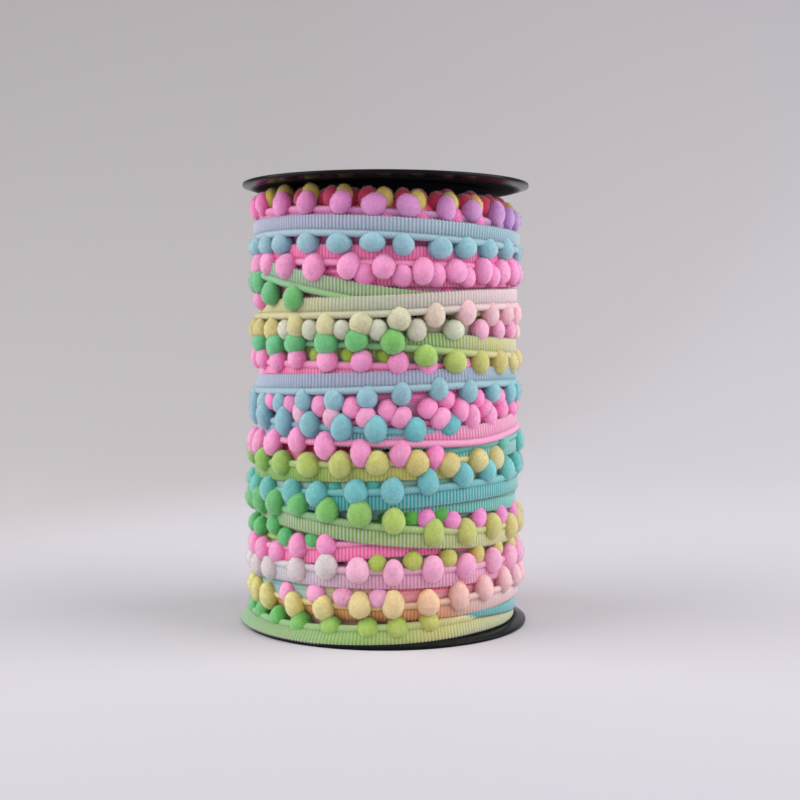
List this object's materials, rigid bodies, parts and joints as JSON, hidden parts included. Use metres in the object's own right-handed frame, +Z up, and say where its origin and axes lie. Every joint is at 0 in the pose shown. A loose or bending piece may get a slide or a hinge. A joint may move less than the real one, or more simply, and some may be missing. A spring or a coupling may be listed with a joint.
{
  "type": "roll of pompom trim on a flanged reel",
  "caption": "Upright reel wound with narrow woven tape that carries a row of small felt pompoms, held between two thin round flanges.",
  "frame": {"origin": "middle of the bottom flange's underside, on the reel's axis", "axes": "+Z up along the reel's axis, -Y towards the side seen from the front, +X to the right of that side"},
  "size_m": [0.075, 0.075, 0.115],
  "materials": {
    "flange_plastic": "black moulded plastic, satin",
    "trim_fabric": "matte ribbed tape and felt pompoms, dyed in a run of pastel colours"
  },
  "bodies": {
    "root": {"flange_bottom": "flange_plastic", "flange_top": "flange_plastic", "wound_trim": "trim_fabric"}
  },
  "joints": []
}
